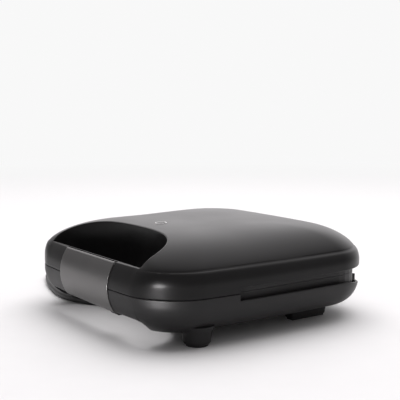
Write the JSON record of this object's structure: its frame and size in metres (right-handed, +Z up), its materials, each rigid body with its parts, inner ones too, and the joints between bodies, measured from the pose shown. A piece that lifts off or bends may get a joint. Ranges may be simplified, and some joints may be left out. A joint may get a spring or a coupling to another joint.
{
  "type": "sandwich grill",
  "caption": "Compact hinged sandwich grill: domed black housing with ribbed plates, a looped front handle with a swing clip, feet and a mains cord.",
  "frame": {"origin": "on the table, under the middle of the housing without the cord", "axes": "-Y towards the handle, +Y towards the hinge, +X to the right seen from the front, +Z up"},
  "size_m": [0.36, 0.3108, 0.0835],
  "materials": {
    "black_plastic": "satin",
    "clip_plastic": "satin",
    "frame_plastic": "matte",
    "coated_aluminium": "non-stick coating",
    "heater_steel": "heat-dulled",
    "sheet_steel": "plain sheet",
    "foot_rubber": "matte",
    "white_print": "light ring",
    "lamp_glass": "clear",
    "block_ceramic": "unglazed",
    "brass_metal": "plain",
    "cord_rubber": "satin"
  },
  "bodies": {
    "base": {"lower_cover": "black_plastic", "lower_frame": "frame_plastic", "lower_grill_plate": "coated_aluminium", "lower_heater": "heater_steel", "lower_heater_clamp": "sheet_steel", "lower_reflector": "sheet_steel", "lower_plate_screw_left": "sheet_steel", "lower_plate_screw_right": "sheet_steel", "base_screw_1": "sheet_steel", "base_screw_2": "sheet_steel", "base_screw_3": "sheet_steel", "base_screw_4": "sheet_steel", "foot_pad_front_left": "foot_rubber", "foot_pad_front_right": "foot_rubber", "foot_pad_rear_left": "foot_rubber", "foot_pad_rear_right": "foot_rubber", "hinge_pin_left": "sheet_steel", "hinge_pin_right": "sheet_steel", "thermal_fuse": "brass_metal", "terminal_block": "block_ceramic", "base_lead_1": "cord_rubber", "base_lead_2": "cord_rubber", "base_hinge_lead": "cord_rubber", "inner_cord": "cord_rubber", "strain_relief": "cord_rubber", "cord_run": "cord_rubber", "cord_coil": "cord_rubber", "cord_tail": "cord_rubber", "cord_tie": "cord_rubber", "plug_body": "cord_rubber", "plug_blade_left": "brass_metal", "plug_blade_right": "brass_metal"},
    "lid": {"upper_cover": "black_plastic", "upper_frame": "frame_plastic", "upper_grill_plate": "coated_aluminium", "upper_heater": "heater_steel", "upper_heater_clamp": "sheet_steel", "upper_reflector": "sheet_steel", "upper_plate_screw_left": "sheet_steel", "upper_plate_screw_right": "sheet_steel", "lid_screw_1": "sheet_steel", "lid_screw_2": "sheet_steel", "lid_screw_3": "sheet_steel", "lid_screw_4": "sheet_steel", "thermostat": "block_ceramic", "indicator_lens": "black_plastic", "indicator_ring": "white_print", "indicator_lamp": "lamp_glass", "lamp_lead": "cord_rubber", "lid_hinge_lead": "cord_rubber", "latch_pin": "sheet_steel"},
    "latch": {"latch_clip": "clip_plastic"}
  },
  "joints": [
    {"name": "lid_hinge", "type": "hinge", "parent": "base", "child": "lid", "pos_m": [0, 0.1166, 0.037], "axis": [-1, 0, 0], "range_deg": [0, 100]},
    {"name": "latch_swing", "type": "hinge", "parent": "lid", "child": "latch", "pos_m": [0, -0.11325, 0.0604], "axis": [-1, 0, 0], "range_deg": [0, 40]}
  ]
}
